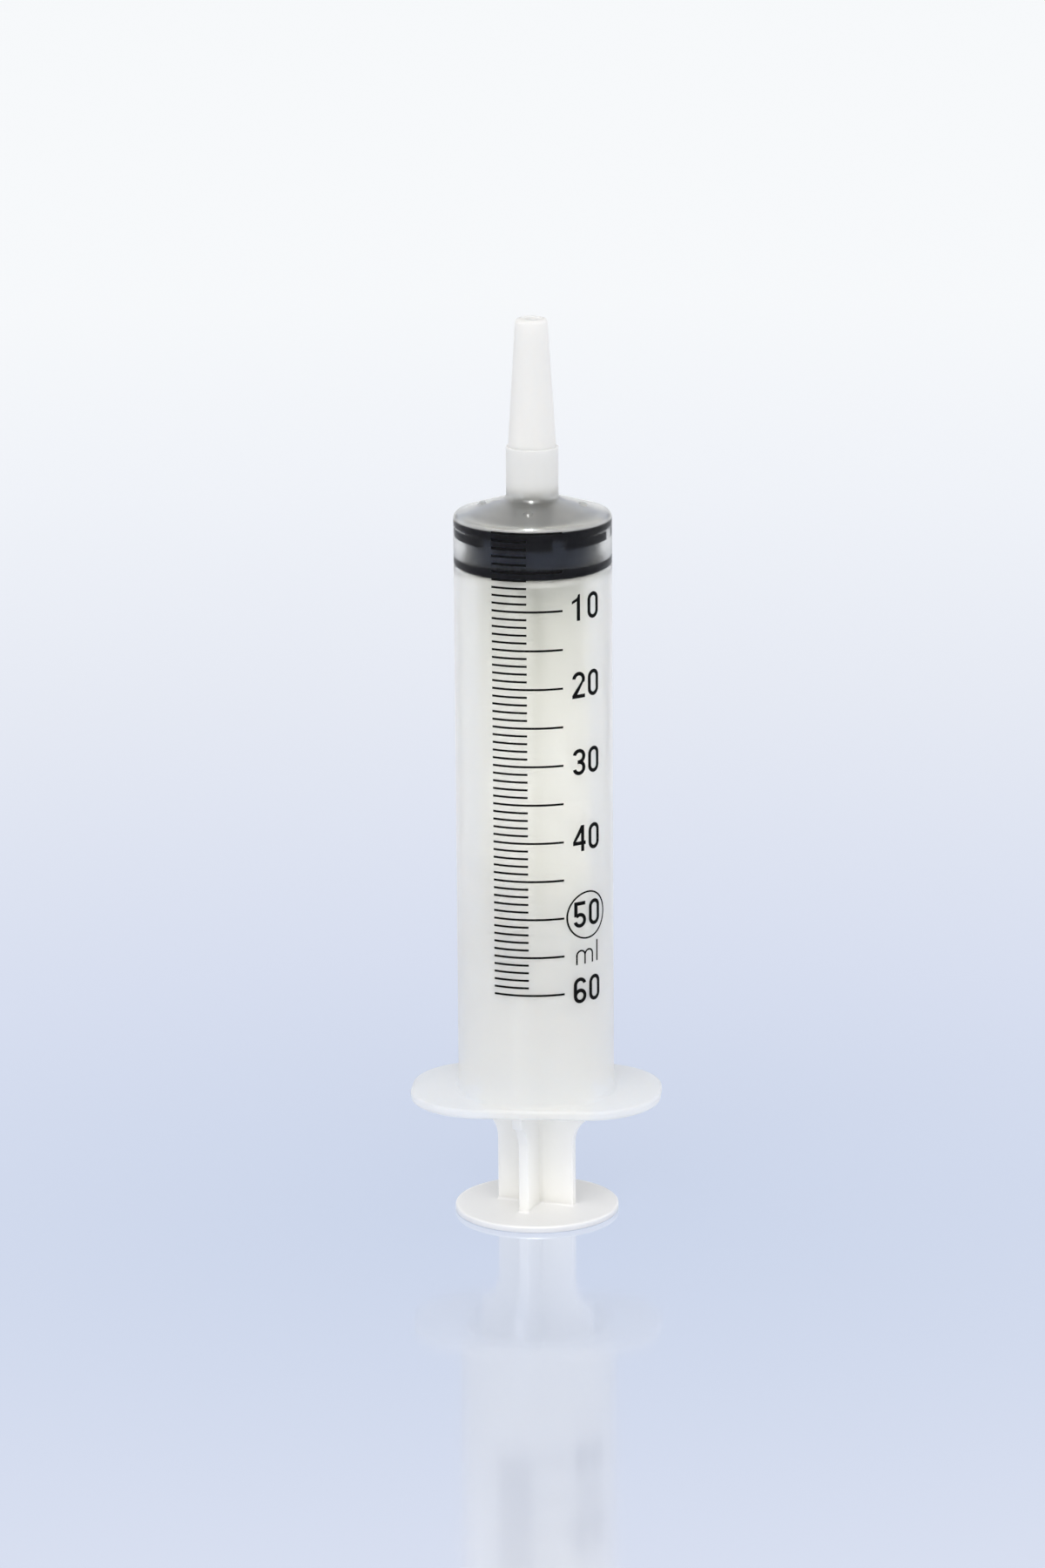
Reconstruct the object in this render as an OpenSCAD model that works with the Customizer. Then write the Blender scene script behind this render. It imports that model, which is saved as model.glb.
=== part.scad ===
// Catheter tip syringe, 60 ml, standing on its thumb rest with the plunger pushed fully in.
// Millimetres, +Z up towards the nozzle, origin on the axis at the underside of the thumb rest.
// The finger flange is long along X and the printed scale faces -Y.

/* [Barrel] */
// Bore diameter of the barrel
barrel_bore = 28.6; // [27.6:0.1:30]
// Wall of the barrel
barrel_wall = 1.3; // [1.1:0.1:1.8]
// Wall of the shoulder, measured upright
shoulder_wall = 1.1; // [0.9:0.1:1.6]
// Slope of the shoulder above the horizontal, in degrees
shoulder_angle = 17; // [12:1:22]
// Rounding between the barrel and its shoulder
shoulder_round = 1.2; // [0.6:0.1:1.4]
// Height of the retaining bead inside the mouth
bead_height = 0.35; // [0.2:0.05:0.5]
// Length of the retaining bead along the bore
bead_length = 1.6; // [1.2:0.1:2.4]
// Middle of the bead above the underside of the flange
bead_place = 5; // [4:0.5:8]
// Widening of the bore at its mouth
mouth_flare = 0.5; // [0.3:0.1:0.8]
// Length of the widened mouth
mouth_length = 1.6; // [1:0.1:2.5]
// Radius of the fillet between barrel and flange
flange_fillet = 0.8; // [0.4:0.1:1.2]

/* [Nozzle] */
// Diameter of the round collar under the cone
collar_diameter = 10.3; // [9.8:0.1:12]
// Length of the collar, from the shoulder to the step
collar_length = 10.2; // [8:0.1:13]
// Fillet between collar and shoulder
collar_fillet = 1; // [0.5:0.1:1.5]
// Diameter of the cone at its foot
cone_foot_diameter = 9.45; // [8.6:0.05:9.6]
// Diameter of the cone at its tip
cone_tip_diameter = 6.4; // [5.8:0.1:7.4]
// Length of the cone
cone_length = 25.4; // [20:0.1:30]
// Rounding of the cone's rim
tip_round = 0.55; // [0.3:0.05:0.8]
// Diameter of the fluid bore through the nozzle
nozzle_bore = 3.5; // [2.4:0.1:4]
// Small bevel on the edges of the nozzle
nozzle_bevel = 0.2; // [0.1:0.05:0.3]
// Diameter of each small moulding pip on the shoulder
pip_diameter = 1.5; // [1:0.1:2]
// Distance of the pips from the axis
pip_place = 10; // [8.5:0.1:11]

/* [Finger flange] */
// Length of the flange, tip to tip
flange_length = 50.2; // [46:0.1:54]
// Depth of the flange, front to back
flange_depth = 34; // [33:0.1:38]
// Radius of the flange's round corners
flange_corner_radius = 14.9; // [12:0.1:16]
// Thickness of the flange
flange_thickness = 1.9; // [1.5:0.1:2.5]
// Rounding of the flange's edge
flange_round = 0.6; // [0.3:0.1:0.7]

/* [Printed scale] */
// Number of millilitre graduations, the last of them numbered
graduations = 60; // [50:10:60]
// Height of one millilitre on the scale
graduation_pitch = 1.557; // [1.45:0.001:1.65]
// Height of the last line above the top of the flange
last_line_height = 23.5; // [20:0.1:28]
// Half the angle that a five millilitre line spans, in degrees
long_line_angle = 26.4; // [22:0.2:27]
// Width of a printed line
line_width = 0.42; // [0.3:0.02:0.6]
// Thickness of the ink film
ink_film = 0.05; // [0.03:0.01:0.08]
// Height of the numerals
numeral_height = 5.3; // [4.8:0.1:5.6]
// Width of one numeral
numeral_width = 3; // [2.8:0.1:3.2]
// Stroke of the numerals
numeral_stroke = 0.74; // [0.6:0.02:0.9]
// Gap between the two digits of a number
numeral_gap = 0.8; // [0.5:0.1:1]
// Middle of a number above its line
numeral_lift = 0.3; // [0:0.1:0.6]
// Direction of the numbers from the middle of the scale, in degrees
numeral_angle = 46.3; // [46:0.1:52]
// Outer diameter of the ring round the nominal capacity
ring_diameter = 9.8; // [9.6:0.1:10.2]
// Stroke of the ring and of the unit letters
thin_stroke = 0.34; // [0.25:0.01:0.45]
// Height of the letter l of the unit
unit_height = 4.35; // [3.8:0.05:4.6]
// Height of the letter m of the unit
unit_x_height = 3; // [2.4:0.1:3.2]
// Width of the letter m of the unit
unit_width = 4.3; // [3.6:0.1:4.6]

/* [Plunger rod] */
// Diameter of the thumb rest
thumb_rest_diameter = 32.9; // [30:0.1:36]
// Thickness of the thumb rest
thumb_rest_thickness = 1.3; // [1.1:0.1:2]
// Rounding of the thumb rest's edge
thumb_rest_round = 0.4; // [0.2:0.05:0.5]
// Space between thumb rest and flange with the plunger pushed in
grip_gap = 22.4; // [20:0.1:28]
// Thickness of each rib of the cross-shaped rod
rib_thickness = 2; // [1.6:0.1:2.6]
// Width of the cross between thumb rest and flange
grip_width = 16; // [14:0.1:18]
// Gap between the rib edges and the bore
rib_gap = 2.6; // [2.2:0.1:3]
// Radius of the curve where the ribs widen
rib_flare = 6.2; // [5.6:0.1:9]
// Height above the thumb rest at which the ribs start to widen
rib_flare_height = 13.1; // [10:0.1:15]
// Turn of the cross about the axis, in degrees
rod_turn = -15; // [-45:1:45]
// Gap between the rod's head disc and the bore
disc_gap = 0.9; // [0.7:0.1:1.4]
// Thickness of the head disc
disc_thickness = 1.5; // [1:0.1:2.2]
// Diameter of the stud's neck
neck_diameter = 8; // [6:0.1:9]
// Length of the stud's neck
neck_length = 5.4; // [4.6:0.1:5.6]
// Diameter of the stud's head
stud_diameter = 17; // [15:0.1:18]
// Thickness of the stud's head at its edge
stud_thickness = 1.8; // [1.4:0.1:2]
// Diameter of the flat top of the stud's head
stud_top_diameter = 5; // [4:0.5:8]

/* [Gasket] */
// Length of the gasket from its rear face to its front sealing edge
gasket_length = 9.6; // [9.4:0.1:11]
// Length of the rear sealing rib
rear_rib_length = 2; // [1.4:0.1:2.4]
// Length of the front sealing rib
front_rib_length = 1.95; // [1.4:0.05:2.4]
// Length of the pads under the front rib
pad_length = 1.9; // [1.2:0.1:2.2]
// Angle that each pad spans, in degrees
pad_angle = 49; // [40:1:54]
// Depth of the groove between the sealing ribs
groove_depth = 1.7; // [1.2:0.1:2]
// Bevel on the edges of the sealing ribs
seal_bevel = 0.2; // [0.1:0.05:0.3]
// Diameter of the flat nose of the gasket
nose_diameter = 3; // [2:0.5:6]
// Turn of the gasket's pads about the axis, in degrees
gasket_turn = 26; // [0:1:59]

/* [Fits] */
// Radial clearance of the sealing ribs in the bore
seal_clearance = 0.05; // [0.02:0.01:0.08]
// Radial clearance of the neck in the gasket's throat
neck_clearance = 0.06; // [0.03:0.01:0.09]
// Clearance round the stud's head and over the head disc
stud_clearance = 0.3; // [0.2:0.05:0.4]
// Gap between the gasket's cone and the shoulder with the plunger pushed in
seat_gap = 0.2; // [0.15:0.05:0.4]

/* [Hidden] */
$fn = 96;

// Counts
ribs = 4;
pips = 4;
pads = 6;
lines_per_long_line = 5;
lines_per_number = 10;
arc_steps = 6;

// Radii
bore_r = barrel_bore / 2;
barrel_r = bore_r + barrel_wall;
collar_r = collar_diameter / 2;
cone_foot_r = cone_foot_diameter / 2;
cone_tip_r = cone_tip_diameter / 2;
nozzle_bore_r = nozzle_bore / 2;
seal_r = bore_r - seal_clearance;
core_r = bore_r - groove_depth;
pad_r = seal_r - seal_bevel / 2;
nose_r = nose_diameter / 2;
neck_r = neck_diameter / 2;
throat_r = neck_r + neck_clearance;
stud_r = stud_diameter / 2;
stud_top_r = stud_top_diameter / 2;
cavity_r = stud_r + stud_clearance;
disc_r = bore_r - disc_gap;
rib_r = bore_r - rib_gap;
grip_r = grip_width / 2;
ring_r = ring_diameter / 2;

// Heights, from the thumb rest up
flange_bottom = thumb_rest_thickness + grip_gap;
flange_top = flange_bottom + flange_thickness;
zero_line = flange_top + last_line_height + graduations * graduation_pitch;
bore_top = zero_line + seat_gap;
gasket_bottom = zero_line - gasket_length;
disc_top = gasket_bottom - stud_clearance;
disc_bottom = disc_top - disc_thickness;
stud_bottom = disc_top + neck_length;
stud_edge_top = stud_bottom + stud_thickness;
front_rib_bottom = zero_line - front_rib_length;
slope = tan(shoulder_angle);
shoulder_foot = shoulder_z(collar_r);
step_z = shoulder_foot + collar_length;
tip_z = step_z + cone_length;
flare_z = thumb_rest_thickness + rib_flare_height;

// How far a cutting tool runs past what it cuts
overrun = barrel_wall;

// The shoulder's outside, its inside and the gasket's cone are parallel cones
function inside_z(r) = bore_top + (bore_r - r) * slope;
function shoulder_z(r) = inside_z(r) + shoulder_wall;
function gasket_z(r) = inside_z(r) - seat_gap;
function stud_z(r) = stud_edge_top + (stud_r - r) * slope;

// Points along an arc about centre c
function arc(c, r, from, to) =
    [for (i = [0:arc_steps]) let (a = from + (to - from) * i / arc_steps)
        c + r * [cos(a), sin(a)]];

// Centre of a rounding of radius r that touches the shoulder's outside and the upright line at x
function on_shoulder(x, r, side) =
    [x + side * r, shoulder_z(x + side * r) + side * r / cos(shoulder_angle)];

// Rectangle with round corners, centred and drawn in by inset all round
module rounded(length, depth, corner_radius, inset) {
    hull() for (x = [-1, 1], y = [-1, 1])
        translate([x * (length / 2 - corner_radius), y * (depth / 2 - corner_radius)])
            circle(r = corner_radius - inset);
}

// Outline of the finger flange
module flange_outline(inset) {
    rounded(flange_length, flange_depth, flange_corner_radius, inset);
}

// Flange with its edge rounded above and below
module flange_plate() {
    flat = flange_thickness - flange_round * 2;
    translate([0, 0, flange_bottom]) hull() {
        translate([0, 0, flange_round]) linear_extrude(flat) flange_outline(0);
        linear_extrude(flange_thickness) flange_outline(flange_round);
        edge_lift = flange_round * (1 - cos(45));
        translate([0, 0, edge_lift])
            linear_extrude(flange_thickness - edge_lift * 2) flange_outline(edge_lift);
    }
}

// Half section of the barrel, its shoulder and its nozzle
module barrel_section() {
    fillet_foot = barrel_r + flange_fillet;
    bead_z = flange_bottom + bead_place;
    polygon(concat(
        [[bore_r + mouth_flare, flange_bottom], [barrel_r, flange_bottom],
            [barrel_r, flange_bottom + flange_round], [fillet_foot, flange_bottom + flange_round]],
        arc([fillet_foot, flange_top + flange_fillet], flange_fillet, 270, 180),
        arc(on_shoulder(barrel_r, shoulder_round, -1), shoulder_round, 0, 90 - shoulder_angle),
        arc(on_shoulder(collar_r, collar_fillet, 1), collar_fillet, 270 - shoulder_angle, 180),
        [[collar_r, step_z - nozzle_bevel], [collar_r - nozzle_bevel, step_z], [cone_foot_r, step_z]],
        arc([cone_tip_r - tip_round, tip_z - tip_round], tip_round, 0, 90),
        [[nozzle_bore_r + nozzle_bevel, tip_z], [nozzle_bore_r, tip_z - nozzle_bevel],
            [nozzle_bore_r, inside_z(nozzle_bore_r)], [bore_r, bore_top],
            [bore_r, bead_z + bead_length / 2], [bore_r - bead_height, bead_z + bead_length / 8],
            [bore_r - bead_height, bead_z - bead_length / 8], [bore_r, bead_z - bead_length / 2],
            [bore_r, flange_bottom + mouth_length]]));
}

// Barrel with shoulder, nozzle and finger flange, one moulding
module barrel() {
    color([0.9, 0.92, 0.93, 0.5]) {
        difference() {
            flange_plate();
            translate([0, 0, flange_bottom - overrun])
                cylinder(r = bore_r + barrel_wall / 2 + mouth_flare / 2, h = flange_thickness + overrun * 2);
        }
        rotate_extrude() barrel_section();
        for (i = [0:pips - 1])
            rotate([0, 0, i * 360 / pips])
                translate([pip_place, 0, shoulder_z(pip_place) - pip_diameter / 4])
                    sphere(d = pip_diameter);
    }
}

// Side view of one pair of ribs, from the thumb rest to the head disc
module rib_outline() {
    flare_end = acos((rib_r - grip_r - rib_flare) / rib_flare);
    side = concat([[grip_r, thumb_rest_thickness / 2]],
        arc([grip_r + rib_flare, flare_z], rib_flare, 180, flare_end),
        [[rib_r, disc_bottom + disc_thickness / 2]]);
    polygon(concat(side, [for (i = [len(side) - 1:-1:0]) [-side[i].x, side[i].y]]));
}

// Half section of the head disc and of the stud that holds the gasket
module stud_section() {
    bevel = disc_thickness / 4;
    polygon([[0, disc_bottom], [disc_r - bevel, disc_bottom], [disc_r, disc_bottom + bevel],
        [disc_r, disc_top - bevel], [disc_r - bevel, disc_top], [neck_r, disc_top],
        [neck_r, stud_bottom], [stud_r, stud_bottom], [stud_r, stud_edge_top],
        [stud_top_r, stud_z(stud_top_r)], [0, stud_z(stud_top_r)]]);
}

// Half section of the thumb rest with its rounded edge
module thumb_rest_section() {
    inner = thumb_rest_diameter / 2 - thumb_rest_round;
    polygon(concat([[0, 0]],
        arc([inner, thumb_rest_round], thumb_rest_round, 270, 360),
        arc([inner, thumb_rest_thickness - thumb_rest_round], thumb_rest_round, 0, 90),
        [[0, thumb_rest_thickness]]));
}

// Plunger rod with thumb rest, cross-shaped ribs, head disc and stud, one moulding
module plunger_rod() {
    color([0.95, 0.96, 0.96]) {
        rotate_extrude() thumb_rest_section();
        rotate([0, 0, rod_turn])
            for (i = [0:ribs / 2 - 1])
                rotate([90, 0, i * 360 / ribs])
                    linear_extrude(rib_thickness, center = true) rib_outline();
        rotate_extrude() stud_section();
    }
}

// Half section of the gasket, with the throat and the cavity for the stud
module gasket_section() {
    rear_top = gasket_bottom + rear_rib_length;
    polygon([[throat_r, gasket_bottom], [seal_r - seal_bevel, gasket_bottom],
        [seal_r, gasket_bottom + seal_bevel], [seal_r, rear_top - seal_bevel],
        [seal_r - seal_bevel, rear_top], [core_r, rear_top], [core_r, front_rib_bottom],
        [seal_r - seal_bevel, front_rib_bottom], [seal_r, front_rib_bottom + seal_bevel],
        [seal_r, zero_line - seal_bevel], [seal_r - seal_bevel, gasket_z(seal_r)],
        [nose_r, gasket_z(nose_r)], [0, gasket_z(nose_r)],
        [0, stud_z(stud_top_r) + stud_clearance], [stud_top_r, stud_z(stud_top_r) + stud_clearance],
        [cavity_r, stud_edge_top + stud_clearance], [cavity_r, stud_bottom - stud_clearance],
        [throat_r, stud_bottom - stud_clearance]]);
}

// Rubber gasket with two sealing ribs and a ring of pads behind the front rib
module gasket() {
    color([0.09, 0.1, 0.12]) {
        rotate_extrude() gasket_section();
        for (i = [0:pads - 1])
            rotate([0, 0, gasket_turn + i * 360 / pads - pad_angle / 2])
                translate([0, 0, front_rib_bottom - pad_length])
                    rotate_extrude(angle = pad_angle)
                        translate([core_r - seal_bevel, 0])
                            square([pad_r - core_r + seal_bevel, pad_length + seal_bevel]);
    }
}

// Height of a graduation line
function line_z(ml) = zero_line - ml * graduation_pitch;

// One printed line, from one angle to another, measured from the middle of the scale
module printed_line(ml, from, to) {
    translate([0, 0, line_z(ml) - line_width / 2])
        rotate([0, 0, from - 90])
            rotate_extrude(angle = to - from)
                translate([barrel_r, 0]) square([ink_film, line_width]);
}

// Short lines, one for each millilitre between the long lines
module graduations_1ml() {
    color([0.08, 0.08, 0.09])
        for (ml = [1:graduations - 1])
            if (ml % lines_per_long_line != 0) printed_line(ml, -long_line_angle, 0);
}

// Long lines, one for each five millilitres and one at zero
module graduations_5ml() {
    color([0.08, 0.08, 0.09])
        for (ml = [0:lines_per_long_line:graduations])
            printed_line(ml, -long_line_angle, long_line_angle);
}

// Lays a flat figure on the barrel as a film of ink
module printed(angle, z, reach) {
    intersection() {
        translate([0, 0, z - reach]) difference() {
            cylinder(r = barrel_r + ink_film, h = reach * 2);
            translate([0, 0, -overrun]) cylinder(r = barrel_r, h = reach * 2 + overrun * 2);
        }
        translate([0, 0, z]) rotate([90, 0, angle]) linear_extrude(barrel_r * 2) children();
    }
}

// Upright bar with round ends, the outline of a nought
module nought(w, h) {
    square([w, h - w], center = true);
    for (side = [-1, 1]) translate([0, side * (h - w) / 2]) circle(d = w);
}

// Part of a ring of outer radius r, from one angle to the other
module bow(r, stroke, from, to) {
    steps = ceil((to - from) / 60);
    reach = r / cos(30) + stroke;
    intersection() {
        difference() {
            circle(r = r);
            circle(r = r - stroke);
        }
        polygon(concat([[0, 0]],
            [for (i = [0:steps]) let (a = from + (to - from) * i / steps)
                reach * [cos(a), sin(a)]]));
    }
}

// One numeral centred on the origin
module numeral(digit) {
    w = numeral_width;
    h = numeral_height;
    s = numeral_stroke;
    r = w / 2;
    low = r - h / 2;
    if (digit == 0)
        difference() {
            nought(w, h);
            nought(w - s * 2, h - s * 2);
        }
    if (digit == 1)
        polygon([[s / 2, h / 2], [0, h / 2], [-s / 2, h / 2 - s], [-r, h / 2 - s * 7 / 4],
            [-r, h / 2 - s * 5 / 2], [-s / 2, h / 2 - s * 15 / 8], [-s / 2, -h / 2], [s / 2, -h / 2]]);
    if (digit == 2) {
        translate([0, -low]) bow(r, s, -30, 175);
        polygon([[r - s * 7 / 8, -low - s / 4], [r - s / 8, -low - s / 4],
            [s * 3 / 2 - r, s - h / 2], [r, s - h / 2], [r, -h / 2], [-r, -h / 2],
            [-r, s * 7 / 8 - h / 2]]);
    }
    if (digit == 3) {
        translate([0, -low]) bow(r, s, -90, 165);
        translate([0, low]) bow(r, s, -165, 90);
        translate([-s / 2, -s / 2]) square([s, s]);
    }
    if (digit == 4) {
        translate([r - s * 3 / 2, -h / 2]) square([s, h]);
        translate([-r, -h / 4]) square([w, s]);
        polygon([[r - s, h / 2], [r - s * 3 / 2, h / 2], [-r, s - h / 4], [-r, s / 2 - h / 4],
            [s / 2 - r, s / 2 - h / 4], [r - s, h / 2 - s * 5 / 4]]);
    }
    if (digit == 5) {
        translate([s / 4 - r, h / 2 - s]) square([w - s / 2, s]);
        translate([s / 4 - r, -s / 2]) square([s, h / 2]);
        translate([0, low]) bow(r, s, -165, 140);
    }
    if (digit == 6) {
        translate([0, low]) bow(r, s, -180, 180);
        translate([-r, low]) square([s, h - w]);
        translate([0, -low]) bow(r, s, 15, 180);
    }
}

// Angle that a flat distance spans on the barrel
function turn_of(distance) = distance / barrel_r * 180 / PI;

// The numbers beside every tenth line
module scale_numerals() {
    digit_turn = turn_of(numeral_width + numeral_gap) / 2;
    color([0.08, 0.08, 0.09])
        for (ml = [lines_per_number:lines_per_number:graduations]) {
            number_z = line_z(ml) + numeral_lift;
            printed(numeral_angle - digit_turn, number_z, numeral_height)
                numeral(ml / lines_per_number);
            printed(numeral_angle + digit_turn, number_z, numeral_height) numeral(0);
        }
}

// Ring round the number of the nominal capacity
module capacity_ring() {
    color([0.08, 0.08, 0.09])
        printed(numeral_angle, line_z(graduations - lines_per_number), ring_diameter)
            difference() {
                circle(r = ring_r);
                circle(r = ring_r - thin_stroke);
            }
}

// The letters ml between the last two numbers
module unit_mark() {
    arch_r = (unit_width + thin_stroke) / 4;
    foot = -unit_height / 2;
    letter_gap = thin_stroke * 3;
    color([0.08, 0.08, 0.09])
        printed(numeral_angle, line_z(graduations - lines_per_long_line), unit_height) {
            translate([-letter_gap / 2 - thin_stroke / 2, foot]) {
                for (i = [-1:1])
                    translate([i * (unit_width - thin_stroke) / 2 - thin_stroke / 2, 0])
                        square([thin_stroke, unit_x_height - arch_r]);
                for (side = [-1, 1])
                    translate([side * (arch_r - thin_stroke / 2), unit_x_height - arch_r])
                        bow(arch_r, thin_stroke, 0, 180);
            }
            translate([(unit_width + letter_gap) / 2 - thin_stroke / 2, foot])
                square([thin_stroke, unit_height]);
        }
}

barrel();
plunger_rod();
gasket();
graduations_1ml();
graduations_5ml();
scale_numerals();
capacity_ring();
unit_mark();
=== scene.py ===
"""Looks of the catheter tip syringe: its finished pieces, their materials, a soft studio and the camera.

Blender works in metres, but the sizes of the pieces are written in millimetres. +Z is up towards the nozzle,
the flange is long along X, and the middle of the scale faces -Y.
"""

import math

import bmesh
import bpy
from mathutils import Matrix, Vector


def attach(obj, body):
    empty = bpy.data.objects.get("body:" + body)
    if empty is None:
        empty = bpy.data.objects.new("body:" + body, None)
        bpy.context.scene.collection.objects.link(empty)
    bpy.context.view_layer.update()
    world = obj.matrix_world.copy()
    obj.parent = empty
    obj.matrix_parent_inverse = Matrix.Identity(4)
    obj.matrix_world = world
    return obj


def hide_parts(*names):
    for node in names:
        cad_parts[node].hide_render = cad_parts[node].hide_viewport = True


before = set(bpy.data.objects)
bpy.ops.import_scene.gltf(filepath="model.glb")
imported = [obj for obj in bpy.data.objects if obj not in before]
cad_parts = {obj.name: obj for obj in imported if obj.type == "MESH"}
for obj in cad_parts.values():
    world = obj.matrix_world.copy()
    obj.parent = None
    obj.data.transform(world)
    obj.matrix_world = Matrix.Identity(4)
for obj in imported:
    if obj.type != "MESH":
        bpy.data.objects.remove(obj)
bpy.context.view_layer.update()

MM = 0.001

# Barrel and nozzle
BORE_R = 14.3
BARREL_R = 15.6
WALL_RINGS = (120.0, 60.0)      # heights of the rings that divide the long walls
SHOULDER_WALL = 1.1
SLOPE_DEGREES = 17
SLOPE_ANGLE = math.radians(SLOPE_DEGREES)
SLOPE = math.tan(SLOPE_ANGLE)
SHOULDER_ROUND = 1.2
COLLAR_R = 5.15
COLLAR_FILLET = 1.0
CONE_FOOT_R = 4.725
CONE_TIP_R = 3.2
TIP_ROUND = 0.9
NOZZLE_BORE_R = 1.75
NOZZLE_BEVEL = 0.2
BORE_TOP = 142.72
STEP_Z = 156.82                 # from the collar to the cone
STEP_FILLET = (0.06, 0.08)      # at the cone's foot: outwards and upwards
STEP_EDGE = (0.06, 0.05)        # middle of the collar's bevel: inwards and downwards
TIP_Z = 182.217

# Pips on the shoulder: a dome with a soft skirt, both as shares of the pip's radius
PIPS = 4
PIP_R = 0.85
PIP_RISE = 0.55
PIP_PLACE = 10.0
PIP_BAND = 1.0                  # of fine rings, to each side of the pips
PIP_STEPS = 20
PIP_DOME = 0.9
PIP_SKIRT = 1.25
PIP_SKIRT_RISE = 0.436          # share of the rise where the skirt begins

# Mouth of the barrel
BEAD_R = 13.95
BEAD_LENGTH = 1.6
BEAD_PLACE = 5.0
MOUTH_FLARE = 0.5
MOUTH_LENGTH = 1.6
MOUTH_BEVEL = 0.15

# Finger flange
FLANGE_BOTTOM = 23.7
FLANGE_TOP = 25.6
FLANGE_LENGTH = 50.2
FLANGE_DEPTH = 34.0
FLANGE_CORNER_R = 14.9
FLANGE_ROUND = 0.6
FLANGE_FILLET = 0.8
FLANGE_LAND = 0.08              # flat that is always left between fillet and round edge

# Plunger rod
THUMB_R = 16.45
THUMB_THICKNESS = 1.3
THUMB_ROUND = 0.4
FOOT_ROUND = 0.1                # of the thumb rest's lower edge
RIB_HALF = 1.0
GRIP_R = 8.0                    # the ribs are narrow here, for the fingers
RIB_R = 11.7
FLARE_R = 6.2
FLARE_Z = 14.4
FLARE_RISE = FLARE_R * math.sin(math.acos((RIB_R - GRIP_R - FLARE_R) / FLARE_R))
ROD_TURN = math.radians(-15)
ROD_RINGS = (45.0, 75.0, 105.0)
RIB_CORNER = 0.22
RIB_FILLET = 0.7
FOOT_FILLET = 0.5
OVERLAP = 0.5                   # of the ribs with the thumb rest and the head disc
DISC_R = 13.4
DISC_BOTTOM = 131.12
DISC_TOP = 132.62
DISC_BEVEL = 0.375
NECK_R = 4.0
STUD_R = 8.5
STUD_BOTTOM = 138.02
STUD_EDGE_TOP = 139.82
STUD_TOP_R = 2.5
STUD_TOP = STUD_EDGE_TOP + (STUD_R - STUD_TOP_R) * SLOPE
CAP_R = 4.0                     # of the fans that close the flat ends

# Gasket
SEAL_R = 14.32                  # reaches into the bore, as pressed rubber does
SEAL_BEVEL = 0.2
BEVEL_MIDDLE = 0.06             # how far inside the corner a bevel's middle lies
GROOVE_R = 13.4
GROOVE_FILLET = 0.25
GROOVE_FILLET_MIDDLE = 0.07
GASKET_BOTTOM = 132.92
REAR_RIB_TOP = 134.92
FRONT_RIB_BOTTOM = 140.57
ZERO_LINE = 142.52
NOSE_R = 1.5
THROAT_R = 4.06
CAVITY_R = 8.8
CAVITY_GAP = 0.3
SEAT_GAP = 0.2
PADS = 6
PAD_R = 14.32
PAD_BOTTOM = 138.67
PAD_BEVEL = 0.15
PAD_STEP = 0.02                 # height over which the groove turns into the pads
PAD_DEGREES = 49
PAD_TURN_DEGREES = 26

# Printed scale
PITCH = 1.557
LINES = 61
LONG_EVERY = 5
LINE_WIDTH = 0.42
LINE_ANGLE = math.radians(26.4)     # of a short line, and of half a long one
INK_LOW = 0.003                     # the film's two faces, from the barrel
INK_HIGH = 0.048

# Faces round each shape, and along its fillets and rounds
BARREL_STEPS = 256
ROD_STEPS = 192
GASKET_STEPS = 360
ARC_STEPS = 8
FILLET_STEPS = 6
RIB_STEPS = 5
FOOT_STEPS = 4
FLARE_STEPS = 14
BEAD_STEPS = 8
LINE_STEPS = 14
SMOOTH_DEGREES = 35
FINE_SMOOTH_DEGREES = 30

# Camera, solved from the photograph: millimetres and radians
CAMERA_TURN = math.radians(5)
CAMERA_SIDE = -2.35
CAMERA_AWAY = 1255.04
CAMERA_HEIGHT = 418.19
CAMERA_TILT = 0.2570
CAMERA_ROLL = -0.0073
LENS = 150.12
SENSOR = 36.0
CLIP_METRES = (0.05, 50)


# Shapes ----------------------------------------------------------------------

def arc(centre, r, start, end, steps=ARC_STEPS):
    """Points (radius, height) along an arc, angles in degrees."""
    out = []
    for i in range(steps + 1):
        a = math.radians(start + (end - start) * i / steps)
        out.append((centre[0] + r * math.cos(a), centre[1] + r * math.sin(a)))
    return out


def quarter(steps):
    """Angles in radians from zero to a right angle."""
    return [math.pi / 2 * i / steps for i in range(steps + 1)]


def lofted(outlines, looped=False):
    """A skin over closed outlines of equal counts, and its rings. Looped also joins the last to the first."""
    bm = bmesh.new()
    rings = [[bm.verts.new((x * MM, y * MM, z * MM)) for x, y, z in outline] for outline in outlines]
    pairs = list(zip(rings, rings[1:]))
    if looped:
        pairs.append((rings[-1], rings[0]))
    for low, high in pairs:
        for i in range(len(low)):
            j = (i + 1) % len(low)
            bm.faces.new((low[i], low[j], high[j], high[i]))
    return bm, rings


def turned(rows, steps, capped=False):
    """A closed shape turned about Z. Each row is (radius, height), or a function of the angle that gives it.

    Capped ends close with a fan. Without caps the last row meets the first, as in a tube.
    """
    def outline(row):
        points = []
        for i in range(steps):
            a = 2 * math.pi * i / steps
            r, z = row(a) if callable(row) else row
            points.append((r * math.cos(a), r * math.sin(a), z))
        return points

    bm, rings = lofted([outline(row) for row in rows], looped=not capped)
    if capped:
        for ring in (rings[0], rings[-1]):
            pole = bm.verts.new((0, 0, ring[0].co.z))
            for i in range(steps):
                bm.faces.new((ring[i], ring[(i + 1) % steps], pole))
    bmesh.ops.recalc_face_normals(bm, faces=bm.faces)
    return bm


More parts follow.
